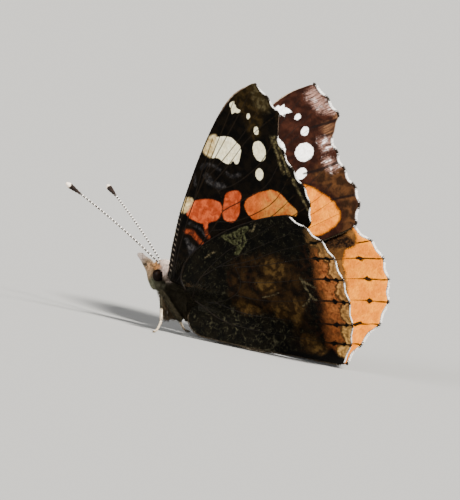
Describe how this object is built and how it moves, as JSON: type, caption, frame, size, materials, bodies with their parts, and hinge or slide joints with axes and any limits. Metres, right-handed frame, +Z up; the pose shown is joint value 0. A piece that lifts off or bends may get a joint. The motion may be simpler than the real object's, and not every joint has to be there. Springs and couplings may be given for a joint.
{
  "type": "red admiral butterfly model",
  "caption": "Life-size still model of a red admiral butterfly standing on its walking legs, with its wings half open in a V above its body and its clubbed feelers raised ahead.",
  "frame": {"origin": "on the floor, under the middle of the whole butterfly's bounding box", "axes": "+X towards the tail and the hindwings, +Y towards the butterfly's right side, +Z up; the head and feelers are at -X"},
  "size_m": [0.041, 0.0232, 0.0352],
  "materials": {
    "body_hair": "matte, hairy",
    "eye": "glossy",
    "palp": "matte, scaled",
    "antenna": "satin, ringed with pale scales",
    "forewing": "matte, scaled",
    "hindwing": "matte, scaled",
    "leg": "satin"
  },
  "bodies": {
    "root": {"abdomen": "body_hair", "antenna_left": "antenna", "antenna_right": "antenna", "eye_left": "eye", "eye_right": "eye", "foreleg_left": "body_hair", "foreleg_right": "body_hair", "forewing_left": "forewing", "forewing_right": "forewing", "head": "body_hair", "hindleg_left": "leg", "hindleg_right": "leg", "hindwing_left": "hindwing", "hindwing_right": "hindwing", "midleg_left": "leg", "midleg_right": "leg", "palp_left": "palp", "palp_right": "palp", "thorax": "body_hair"}
  },
  "joints": []
}
